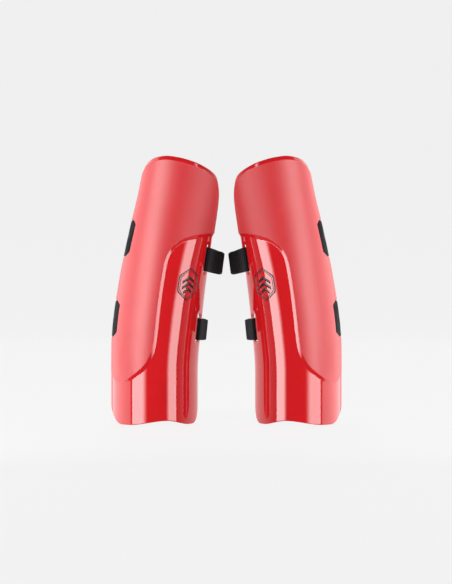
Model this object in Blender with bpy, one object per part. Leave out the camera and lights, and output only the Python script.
"""A pair of ski-racing shin guards: two mirrored plastic shells with foam liners and elastic straps.

Run with: blender --background --python part.py

Frame: metres, +Z up, origin on the floor midway between the guards. The fronts face -Y. The wearer faces -Y
too, so the guard of the wearer's left leg stands at +X and the right one at -X.

Every guard is drawn in section coordinates: a height z, and an angle phi round the leg in degrees, 0 at the
front, positive towards the outer (lateral) side. The shell ends at INNER_EDGE and OUTER_EDGE.
"""

import math

import bpy
import numpy as np

MM = 0.001
CENTRE_Y = 7.74  # from the sections' own centre back to the origin's, so that the pair is centred on it

# Sections of the shell's outer face: height, distance of the centre from the mid-plane, half width,
# half depth before and behind the centre, and the centre's shift in y, all in mm. The front is round at the
# bottom and grows flatter towards the knee.
SECTIONS = np.array([
    (0, 102.0, 62.0, 65.0, 65.0, 0.0),
    (70, 102.0, 62.0, 65.0, 65.0, 0.0),
    (137, 97.2, 62.2, 63.0, 75.6, -4.0),
    (204, 88.3, 60.8, 55.5, 93.5, -12.5),
    (273, 75.8, 58.2, 42.0, 122.0, -26.0),
    (323, 65.9, 55.7, 35.0, 134.0, -34.0),
    (380, 57.4, 52.9, 31.0, 140.0, -41.0),
])

INNER_EDGE = -83.0
OUTER_EDGE = 118.0
ARC_MM_PER_DEG = 1.16

# The top and bottom edges, as (phi, height in mm), before their corners are rounded.
TOP_EDGE = [(-83, 338), (-60, 347), (-42, 355), (-15, 365), (10, 371), (28, 373), (48, 371), (62, 367),
            (85, 355), (118, 336)]
BOTTOM_EDGE = [(-83, 2.5), (-62, 0), (-54, 0), (-18, 6), (33, 0), (46, 0), (55, 2.5), (68.5, 12.7), (90, 29.6),
               (118, 44)]
CORNER_RADII = {"top_inner": 33.0, "top_outer": 16.0, "bottom_inner": 25.0, "bottom_outer": 14.0}

WALL = 3.0
PANEL_STEP = 2.2
PANEL_RAMP = 6.0
PANEL_RISE = 45.0  # over how far the panel rises where its step has faded out
PANEL_FADE_FROM = 15.0
PANEL_FADE_TO = 55.0
# The crest of the raised panel's step, from the inner edge round to the outer edge, as (phi, height in mm).
PANEL_EDGE = [(-83, 267), (-50, 265.5), (-22, 259.5), (-8, 249.5), (0, 233), (1.4, 200), (1.4, 125), (5, 96),
              (18, 76), (51.6, 57.5), (88, 79.5), (118, 96)]

LINER_GAP = 1.6
LINER_THICKNESS = 8.0
LINER_TRIM = 5.0
LINER_NOTCH_EDGE = -59.0
LINER_NOTCH_HALF = 28.0
DOT_RADIUS = 9.0
DOT_THICKNESS = 0.9
# Places of the hook-and-loop dots that hold the liner, as (phi, height in mm).
DOT_PLACES = {
    "lower_inner": (-30, 80),
    "lower_outer": (50, 90),
    "upper_inner": (-25, 295),
    "upper_outer": (50, 295),
}

GAP = 0.3
PATCH_DEPTH = 1.5
PATCH_FRONT = 61.0
PATCH_BACK = 113.0
PATCH_HALF_HEIGHT = 25.0
PATCH_CHAMFER_DEG = 11.0
PATCH_CHAMFER_MM = 6.5
RECESS_CUT_ABOVE = 5.0

SLOT_FRONT = -66.0
SLOT_BACK = -73.5
SLOT_HALF_LENGTH = 19.0
SLOT_CORNER_DEG = 1.2
SLOT_CORNER_MM = 1.4
SLOT_CUT_BEYOND = 4.0

WEBBING = 1.6
BAR_CLEARANCE = 0.7  # between the webbing and the bar that it turns round
BAR_TURN_DEG = 1.9  # from the slot's back edge to the webbing in it
BAR_BEND_DEG = 1.5
BAR_BEND_MM = 1.0
BAR_RUN_DEG = 4.0
TAPE = 0.8
TAB_LIFT = 0.5
TAB_FRONT = 105.0
TAPE_START = 14.0
TAPE_END = 2.0
TAPE_MARGIN = 4.0

# Each strap: height of its slot and of its patch, width of its webbing, how far it hangs below the middle of
# both, and the route behind the bar, seen from above as (towards the outer side, backwards) in mm from the
# guard's own axis.
STRAPS = {
    "upper": {
        "slot_z": 232.0, "patch_z": 260.0, "width": 33.0, "drop": 2.0,
        "bulge": [(-66.5, -3.0), (-73.5, 2.0), (-78.2, 10.0), (-77.5, 21.0), (-70.0, 34.0)],
    },
    "lower": {
        "slot_z": 134.5, "patch_z": 147.5, "width": 30.0, "drop": 2.5,
        "bulge": [(-66.0, -2.0), (-68.8, 6.0), (-69.2, 15.0), (-66.5, 26.0), (-61.5, 35.0)],
    },
}
SWING_POINT = (-56.0, 44.0)
STRAP_BACK = [(-34.0, 52.5), (-5.0, 56.5), (24.0, 54.5)]
FLEX_POINT = (45.0, 47.0)
STRAP_SIDE = [(53.5, 41.0)]
STRAP_SPAN = 118.0

COLOURS = {
    "shell_plastic": ((0.62, 0.025, 0.035, 1.0), 0.25),
    "liner_foam": ((0.022, 0.022, 0.024, 1.0), 0.9),
    "hook_tape": ((0.012, 0.012, 0.013, 1.0), 0.85),
    "elastic_webbing": ((0.014, 0.014, 0.015, 1.0), 0.8),
}


def smooth_through(xs, ys, x):
    """A curve through the points (xs, ys), flat where they are level and never past them (monotone cubic)."""
    xs = np.asarray(xs, float)
    ys = np.asarray(ys, float)
    step = np.diff(xs)
    slope = np.diff(ys) / step
    tangent = np.zeros_like(ys)
    same_way = slope[:-1] * slope[1:] > 0
    weight_a = 2 * step[1:] + step[:-1]
    weight_b = step[1:] + 2 * step[:-1]
    safe_a = np.where(same_way, slope[:-1], 1.0)
    safe_b = np.where(same_way, slope[1:], 1.0)
    harmonic = (weight_a + weight_b) / (weight_a / safe_a + weight_b / safe_b)
    tangent[1:-1] = np.where(same_way, harmonic, 0.0)
    tangent[0] = slope[0]
    tangent[-1] = slope[-1]
    x = np.clip(x, xs[0], xs[-1])
    i = np.clip(np.searchsorted(xs, x, side="right") - 1, 0, len(xs) - 2)
    t = (x - xs[i]) / step[i]
    rise = ys[i] * (1 + 2 * t) * (1 - t) ** 2 + ys[i + 1] * t * t * (3 - 2 * t)
    lean = step[i] * (tangent[i] * t * (1 - t) ** 2 - tangent[i + 1] * t * t * (1 - t))
    return rise + lean


def section(z):
    """Centre, half width, front and back half depth and y shift of the outer face at height z."""
    return [smooth_through(SECTIONS[:, 0], SECTIONS[:, k], z) for k in range(1, 6)]


def corner_drop(distance, radius):
    """How far a rounded corner cuts in, at this distance from the edge beside it."""
    inside = np.clip(radius - distance, 0, radius)
    return radius - np.sqrt(radius**2 - inside**2)


def edge_heights(phi, trim=0.0):
    """Bottom and top height of the shell at phi, or of something trimmed back from its edges."""
    bottom = smooth_through(*zip(*BOTTOM_EDGE), phi) + trim
    top = smooth_through(*zip(*TOP_EDGE), phi) - trim
    to_inner = (phi - INNER_EDGE) * ARC_MM_PER_DEG - trim
    to_outer = (OUTER_EDGE - phi) * ARC_MM_PER_DEG - trim
    bottom = bottom + corner_drop(to_inner, CORNER_RADII["bottom_inner"])
    bottom = bottom + corner_drop(to_outer, CORNER_RADII["bottom_outer"])
    top = top - corner_drop(to_inner, CORNER_RADII["top_inner"])
    top = top - corner_drop(to_outer, CORNER_RADII["top_outer"])
    return bottom, top


def panel_height(phi, z):
    """How far the raised panel lifts the outer face.

    A ramp leads up to the panel's crest. Round the outer side the step fades, and the panel rises slowly instead."""
    boundary = panel_boundary()
    point = np.stack([np.ravel(phi) * ARC_MM_PER_DEG, np.ravel(z)], axis=1)
    start, end = boundary[:-1], boundary[1:]
    along = end - start
    share = ((point[:, None] - start) * along).sum(-1) / (along**2).sum(-1)
    nearest = start + np.clip(share, 0, 1)[..., None] * along
    gap = point[:, None] - nearest
    distance = np.sqrt((gap**2).sum(-1))
    closest = distance.argmin(axis=1)
    rows = np.arange(len(point))
    side = along[closest, 0] * gap[rows, closest, 1] - along[closest, 1] * gap[rows, closest, 0]
    signed = np.sign(side) * distance[rows, closest]
    fade = np.clip((np.ravel(phi) - PANEL_FADE_FROM) / (PANEL_FADE_TO - PANEL_FADE_FROM), 0, 1)
    crest = PANEL_STEP * (1 - fade * fade * (3 - 2 * fade))
    lift = crest * np.clip(1 + signed / PANEL_RAMP, 0, 1) + (PANEL_STEP - crest) * np.clip(signed / PANEL_RISE, 0, 1)
    return lift.reshape(np.shape(phi))


def panel_boundary():
    """The panel's crest as a dense smooth line in arc millimetres."""
    points = np.array([(phi * ARC_MM_PER_DEG, z) for phi, z in PANEL_EDGE])
    return curve_through(points, 4)


def curve_through(points, steps):
    """A Catmull-Rom curve through the points, with this many steps between each two."""
    points = np.asarray(points, float)
    padded = np.vstack([2 * points[0] - points[1], points, 2 * points[-1] - points[-2]])
    out = []
    for i in range(1, len(padded) - 2):
        a, b, c, d = padded[i - 1 : i + 3]
        for t in np.arange(steps) / steps:
            out.append(0.5 * (2 * b + (c - a) * t + (2 * a - 5 * b + 4 * c - d) * t**2
                              + (3 * b - a - 3 * c + d) * t**3))
    out.append(points[-1])
    return np.array(out)


def face_point(phi, z, offset):
    """A point this far outside the outer face without its panel: (distance from the mid-plane, y, z) in mm."""
    centre, width, front, back, shift = section(z)
    sine = np.sin(np.radians(phi))
    cosine = np.cos(np.radians(phi))
    depth = np.where(cosine > 0, front, back)
    length = np.hypot(depth * sine, width * cosine)
    x = centre + width * sine + offset * depth * sine / length
    y = shift - depth * cosine - offset * width * cosine / length
    return np.stack([x, y, z + 0 * x], axis=-1)


def new_object(name, points, faces, side, material, pivot=(0, 0, 0)):
    """A mesh object from points given in mm on the +X side. The -X guard is its mirror image.

    Its origin is at the pivot, which is a point on its hinge's axis if it moves."""
    placed = (np.asarray(points, float) - pivot) * MM
    placed[:, 0] *= side
    if side < 0:
        faces = [face[::-1] for face in faces]
    mesh = bpy.data.meshes.new(name)
    mesh.from_pydata(placed.tolist(), [], [list(map(int, face)) for face in faces])
    mesh.update()
    mesh.materials.append(bpy.data.materials[material])
    mesh.shade_smooth()
    mesh.set_sharp_from_angle(angle=math.radians(35))
    obj = bpy.data.objects.new(name, mesh)
    obj.location = (side * pivot[0] * MM, (pivot[1] + CENTRE_Y) * MM, pivot[2] * MM)
    obj.parent = bpy.data.objects["left_guard" if side > 0 else "right_guard"]
    bpy.context.collection.objects.link(obj)
    return obj


def sheet_solid(outer, inner):
    """Points and faces of a closed wall between two grids of points, outer face first."""
    columns, rows = outer.shape[:2]
    count = columns * rows
    points = np.concatenate([outer.reshape(-1, 3), inner.reshape(-1, 3)])

    def at(i, j, layer):
        return layer * count + i * rows + j

    faces = []
    for i in range(columns - 1):
        for j in range(rows - 1):
            faces.append((at(i, j, 0), at(i + 1, j, 0), at(i + 1, j + 1, 0), at(i, j + 1, 0)))
            faces.append((at(i, j, 1), at(i, j + 1, 1), at(i + 1, j + 1, 1), at(i + 1, j, 1)))
    for i in range(columns - 1):
        faces.append((at(i, 0, 0), at(i, 0, 1), at(i + 1, 0, 1), at(i + 1, 0, 0)))
        faces.append((at(i, rows - 1, 0), at(i + 1, rows - 1, 0), at(i + 1, rows - 1, 1), at(i, rows - 1, 1)))
    for j in range(rows - 1):
        faces.append((at(0, j, 0), at(0, j + 1, 0), at(0, j + 1, 1), at(0, j, 1)))
        last = columns - 1
        faces.append((at(last, j, 0), at(last, j, 1), at(last, j + 1, 1), at(last, j + 1, 0)))
    return points, faces


def cut(obj, cutters):
    """Cuts each cutter out of obj and hides the cutters."""
    for cutter in cutters:
        cutter.hide_render = True
        cutter.display_type = "WIRE"
        modifier = obj.modifiers.new(cutter.name, "BOOLEAN")
        modifier.operation = "DIFFERENCE"
        modifier.solver = "EXACT"
        modifier.object = cutter


def shell_columns():
    """Angles of the shell's grid: even steps, closer at the rounded corners, with the feet's ends among them."""
    corner = np.array([0, 2.0, 6.0, 12.0])
    middle = [-62, -54, -42, -30, -18, -8, -2, 3, 12, 22, 33, 46, 55, 63, 72, 81, 90, 98]
    return np.concatenate([INNER_EDGE + corner, middle, OUTER_EDGE - corner[::-1]])


def shell(side, name):
    """One moulded shell, with its raised panel, two strap slots and two patch recesses."""
    phi = shell_columns()
    share = np.concatenate([[0], np.linspace(0.02, 0.98, 25), [1]])
    bottom, top = edge_heights(phi)
    z = bottom[:, None] + share[None, :] * (top - bottom)[:, None]
    grid_phi = np.repeat(phi[:, None], len(share), axis=1)
    outer = face_point(grid_phi, z, panel_height(grid_phi, z))
    inner = face_point(grid_phi, z, -WALL)
    points, faces = sheet_solid(outer, inner)
    obj = new_object(name, points, faces, side, "shell_plastic")
    cutters = [slot_cutter(side, f"{name}_{strap}_slot_cutter", STRAPS[strap]["slot_z"]) for strap in STRAPS]
    for strap in STRAPS:
        cutters.append(patch_solid(side, f"{name}_{strap}_recess_cutter", STRAPS[strap]["patch_z"], GAP,
                                  RECESS_CUT_ABOVE))
    cut(obj, cutters)
    return obj


def slot_cutter(side, name, height):
    """A rounded block that follows the wall, through it from inside to outside."""
    phi = np.array([SLOT_BACK, SLOT_BACK + SLOT_CORNER_DEG, SLOT_FRONT - SLOT_CORNER_DEG, SLOT_FRONT])
    ends = SLOT_HALF_LENGTH - SLOT_CORNER_MM * np.array([1, 0, 0, 1])
    z = height + np.linspace(-1, 1, 5)[None, :] * ends[:, None]
    grid_phi = np.repeat(phi[:, None], 5, axis=1)
    outer = face_point(grid_phi, z, SLOT_CUT_BEYOND)
    inner = face_point(grid_phi, z, -WALL - SLOT_CUT_BEYOND)
    points, faces = sheet_solid(outer, inner)
    return new_object(name, points, faces, side, "shell_plastic")


def patch_solid(side, name, height, grow, proud):
    """A hook patch, or its recess where it is grown all round and stands proud of the face."""
    phi = np.array([PATCH_FRONT, PATCH_FRONT + PATCH_CHAMFER_DEG, 80, 88, 96, 104, PATCH_BACK], float)
    phi[0] -= grow / ARC_MM_PER_DEG
    phi[-1] += grow / ARC_MM_PER_DEG
    half = np.full(len(phi), PATCH_HALF_HEIGHT + grow)
    half[0] -= PATCH_CHAMFER_MM
    z = height + np.linspace(-1, 1, 4)[None, :] * half[:, None]
    grid_phi = np.repeat(phi[:, None], 4, axis=1)
    outer = face_point(grid_phi, z, PANEL_STEP + proud)
    inner = face_point(grid_phi, z, PANEL_STEP - PATCH_DEPTH - grow)
    points, faces = sheet_solid(outer, inner)
    return new_object(name, points, faces, side, "hook_tape")


def liner_inner_edge(z):
    """The angle of the liner's inner edge at height z: it draws back behind each strap's slot."""
    edge = INNER_EDGE + LINER_TRIM / ARC_MM_PER_DEG + 0 * z
    for strap in STRAPS.values():
        away = np.abs(z - strap["slot_z"]) / LINER_NOTCH_HALF
        notch = np.clip(1.5 * (1 - away), 0, 1)
        notch = notch * notch * (3 - 2 * notch)
        edge = edge + notch * (LINER_NOTCH_EDGE - INNER_EDGE - LINER_TRIM / ARC_MM_PER_DEG)
    return edge


def liner(side, name):
    """The foam pad inside the shell, notched at the slots so that it clears the straps' loops."""
    share_z = np.concatenate([[0, 0.02], np.linspace(0.06, 0.94, 21), [0.98, 1]])
    columns = np.concatenate([[0, 0.03], np.linspace(0.1, 0.9, 10), [0.97, 1]])
    outer_edge = OUTER_EDGE - LINER_TRIM / ARC_MM_PER_DEG
    inner_edge = INNER_EDGE + LINER_TRIM / ARC_MM_PER_DEG
    phi = np.repeat((inner_edge + columns * (outer_edge - inner_edge))[:, None], len(share_z), axis=1)
    bottom, top = edge_heights(phi, LINER_TRIM)
    z = bottom + share_z[None, :] * (top - bottom)
    notched = liner_inner_edge(z)
    phi = notched + columns[:, None] * (outer_edge - notched)
    near = -WALL - LINER_GAP
    outer = face_point(phi, z, near)
    inner = face_point(phi, z, near - LINER_THICKNESS)
    points, faces = sheet_solid(outer, inner)
    return new_object(name, points, faces, side, "liner_foam")


def dot(side, name, phi0, z0):
    """A hook-and-loop dot between shell and liner: a thin disc that follows the wall."""
    spokes = 12
    turn = np.arange(spokes) * 2 * math.pi / spokes
    phi = np.append(phi0 + DOT_RADIUS * np.cos(turn) / ARC_MM_PER_DEG, phi0)
    z = np.append(z0 + DOT_RADIUS * np.sin(turn), z0)
    far = face_point(phi, z, -WALL - (LINER_GAP - DOT_THICKNESS) / 2)
    near = face_point(phi, z, -WALL - (LINER_GAP + DOT_THICKNESS) / 2)
    ring = spokes + 1
    faces = []
    for i in range(spokes):
        k = (i + 1) % spokes
        faces.append((spokes, i, k))
        faces.append((ring + spokes, ring + k, ring + i))
        faces.append((i, ring + i, ring + k, k))
    return new_object(name, np.concatenate([far, near]), faces, side, "hook_tape")


def strap_frame(strap):
    """Height at the middle of the strap's plane, and how far it climbs per mm towards the outer side."""
    middle = (strap["slot_z"] + strap["patch_z"]) / 2 - strap["drop"]
    climb = (strap["patch_z"] - strap["slot_z"]) / STRAP_SPAN
    return middle, climb


def strap_point(strap, plan, across):
    """A point of the strap from its plan position (outwards, backwards) and the place across its width."""
    middle, climb = strap_frame(strap)
    _, width0, front0, back0, _ = section(middle)
    z = middle + plan[..., 0] * climb + across
    centre, width, front, back, shift = section(z)
    x = centre + plan[..., 0] * width / width0
    y = shift + plan[..., 1] * np.where(plan[..., 1] < 0, front / front0, back / back0)
    return np.stack([x, y, z + 0 * x], axis=-1)


def plan_at(strap, phi, offset):
    """The plan position of a point this far outside the outer face, at angle phi."""
    middle, _ = strap_frame(strap)
    centre, _, _, _, shift = section(middle)
    point = face_point(np.asarray(float(phi)), np.asarray(middle), offset)
    return (float(point[0] - centre), float(point[1] - shift))


def free_route(strap, points):
    """Plan positions of route points that are given as (outwards, backwards) from the guard's own axis."""
    middle, _ = strap_frame(strap)
    return np.asarray(points, float) - (0.0, float(section(middle)[4]))


def beside(plan, distance):
    """The plan line moved sideways, to its left if the distance is positive."""
    along = np.gradient(np.asarray(plan, float), axis=0)
    along /= np.linalg.norm(along, axis=1)[:, None]
    return plan + distance * np.stack([-along[:, 1], along[:, 0]], axis=1)


def ribbon(side, name, strap, plan, thickness, width, material, pivot=(0, 0, 0)):
    """A strip of webbing: its plan line thickened both ways and given its width."""
    rows = np.array([-0.5, 0, 0.5]) * width
    left = beside(plan, thickness / 2)
    right = beside(plan, -thickness / 2)
    left_grid = np.stack([strap_point(strap, left, row) for row in rows], axis=1)
    right_grid = np.stack([strap_point(strap, right, row) for row in rows], axis=1)
    points, faces = sheet_solid(right_grid, left_grid)
    return new_object(name, points, faces, side, material, pivot)


def loop_plan(strap):
    """The fixed end of the strap: flap inside the bar, through the slot, over the bar, and back to the swing."""
    inside = -WALL - BAR_CLEARANCE - WEBBING / 2
    outside = BAR_CLEARANCE + WEBBING / 2
    turn = SLOT_BACK + BAR_TURN_DEG
    bar = [plan_at(strap, phi, inside) for phi in (INNER_EDGE - 1, INNER_EDGE + BAR_RUN_DEG, turn - BAR_BEND_DEG)]
    bar += [plan_at(strap, turn, offset) for offset in (inside + BAR_BEND_MM, -WALL / 2, outside - BAR_BEND_MM)]
    bar += [plan_at(strap, phi, outside) for phi in (turn - BAR_BEND_DEG, INNER_EDGE + BAR_RUN_DEG, INNER_EDGE)]
    free = curve_through(np.vstack([bar[-1:], free_route(strap, strap["bulge"] + [SWING_POINT])]), 2)
    return np.vstack([bar[:-1], free])


def band_plan(strap):
    """The part of the strap that crosses the back of the leg."""
    return curve_through(free_route(strap, [SWING_POINT] + STRAP_BACK + [FLEX_POINT]), 3)


def tab_plan(strap, lift):
    """The outer end of the strap: round the outer edge and onto the hook patch, this far above the panel."""
    on_shell = [plan_at(strap, phi, PANEL_STEP + lift) for phi in (118, 113, 108, TAB_FRONT)]
    return curve_through(np.vstack([free_route(strap, [FLEX_POINT] + STRAP_SIDE), on_shell]), 2)


def shorten(plan, start, end):
    """The plan line with a length taken off each end."""
    length = np.append(0, np.cumsum(np.linalg.norm(np.diff(plan, axis=0), axis=1)))
    keep = (length > start + 0.5) & (length < length[-1] - end - 0.5)
    places = np.concatenate([[start], length[keep], [length[-1] - end]])
    return np.stack([np.interp(places, length, plan[:, k]) for k in (0, 1)], axis=1)


def hinge_point(strap, plan):
    """A point on the hinge at the start of a plan line: on the webbing's outer face, in the middle of its width."""
    return strap_point(strap, beside(plan, WEBBING / 2)[0], 0.0)


def strap_pieces(side, prefix, strap_name):
    """The strap's fixed loop, its band, its tab, and the loop tape on the tab's inner face."""
    strap = STRAPS[strap_name]
    base = f"{prefix}_{strap_name}_strap"
    width = strap["width"]
    tab = shorten(tab_plan(strap, TAB_LIFT + TAPE + GAP + WEBBING / 2), GAP, 0)
    tape = shorten(beside(tab, -(WEBBING / 2 + GAP + TAPE / 2)), TAPE_START, TAPE_END)
    band = band_plan(strap)
    swing = hinge_point(strap, band[:2])
    flex = hinge_point(strap, tab[:2])
    ribbon(side, f"{base}_loop", strap, shorten(loop_plan(strap), 0, GAP), WEBBING, width, "elastic_webbing")
    ribbon(side, f"{base}_band", strap, shorten(band, GAP, GAP), WEBBING, width, "elastic_webbing", swing)
    ribbon(side, f"{base}_tab", strap, tab, WEBBING, width, "elastic_webbing", flex)
    ribbon(side, f"{base}_tape", strap, tape, TAPE, width - TAPE_MARGIN, "hook_tape", flex)


def make_materials():
    """One Principled material for each kind of stuff in the guards."""
    for name, (colour, roughness) in COLOURS.items():
        material = bpy.data.materials.new(name)
        material.use_nodes = True
        shader = material.node_tree.nodes["Principled BSDF"]
        shader.inputs["Base Color"].default_value = colour
        shader.inputs["Roughness"].default_value = roughness
        shader.inputs["Metallic"].default_value = 0.0


def guard(side, prefix):
    """One complete guard."""
    shell(side, f"{prefix}_shell")
    liner(side, f"{prefix}_liner")
    for place, (phi, z) in DOT_PLACES.items():
        dot(side, f"{prefix}_{place}_liner_dot", phi, z)
    for strap_name, strap in STRAPS.items():
        patch_solid(side, f"{prefix}_{strap_name}_hook_patch", strap["patch_z"], 0.0, 0.0)
        strap_pieces(side, prefix, strap_name)


def main():
    for obj in list(bpy.data.objects):
        bpy.data.objects.remove(obj, do_unlink=True)
    make_materials()
    for side, prefix in ((-1, "right"), (1, "left")):
        holder = bpy.data.objects.new(f"{prefix}_guard", None)
        bpy.context.collection.objects.link(holder)
        guard(side, prefix)


main()
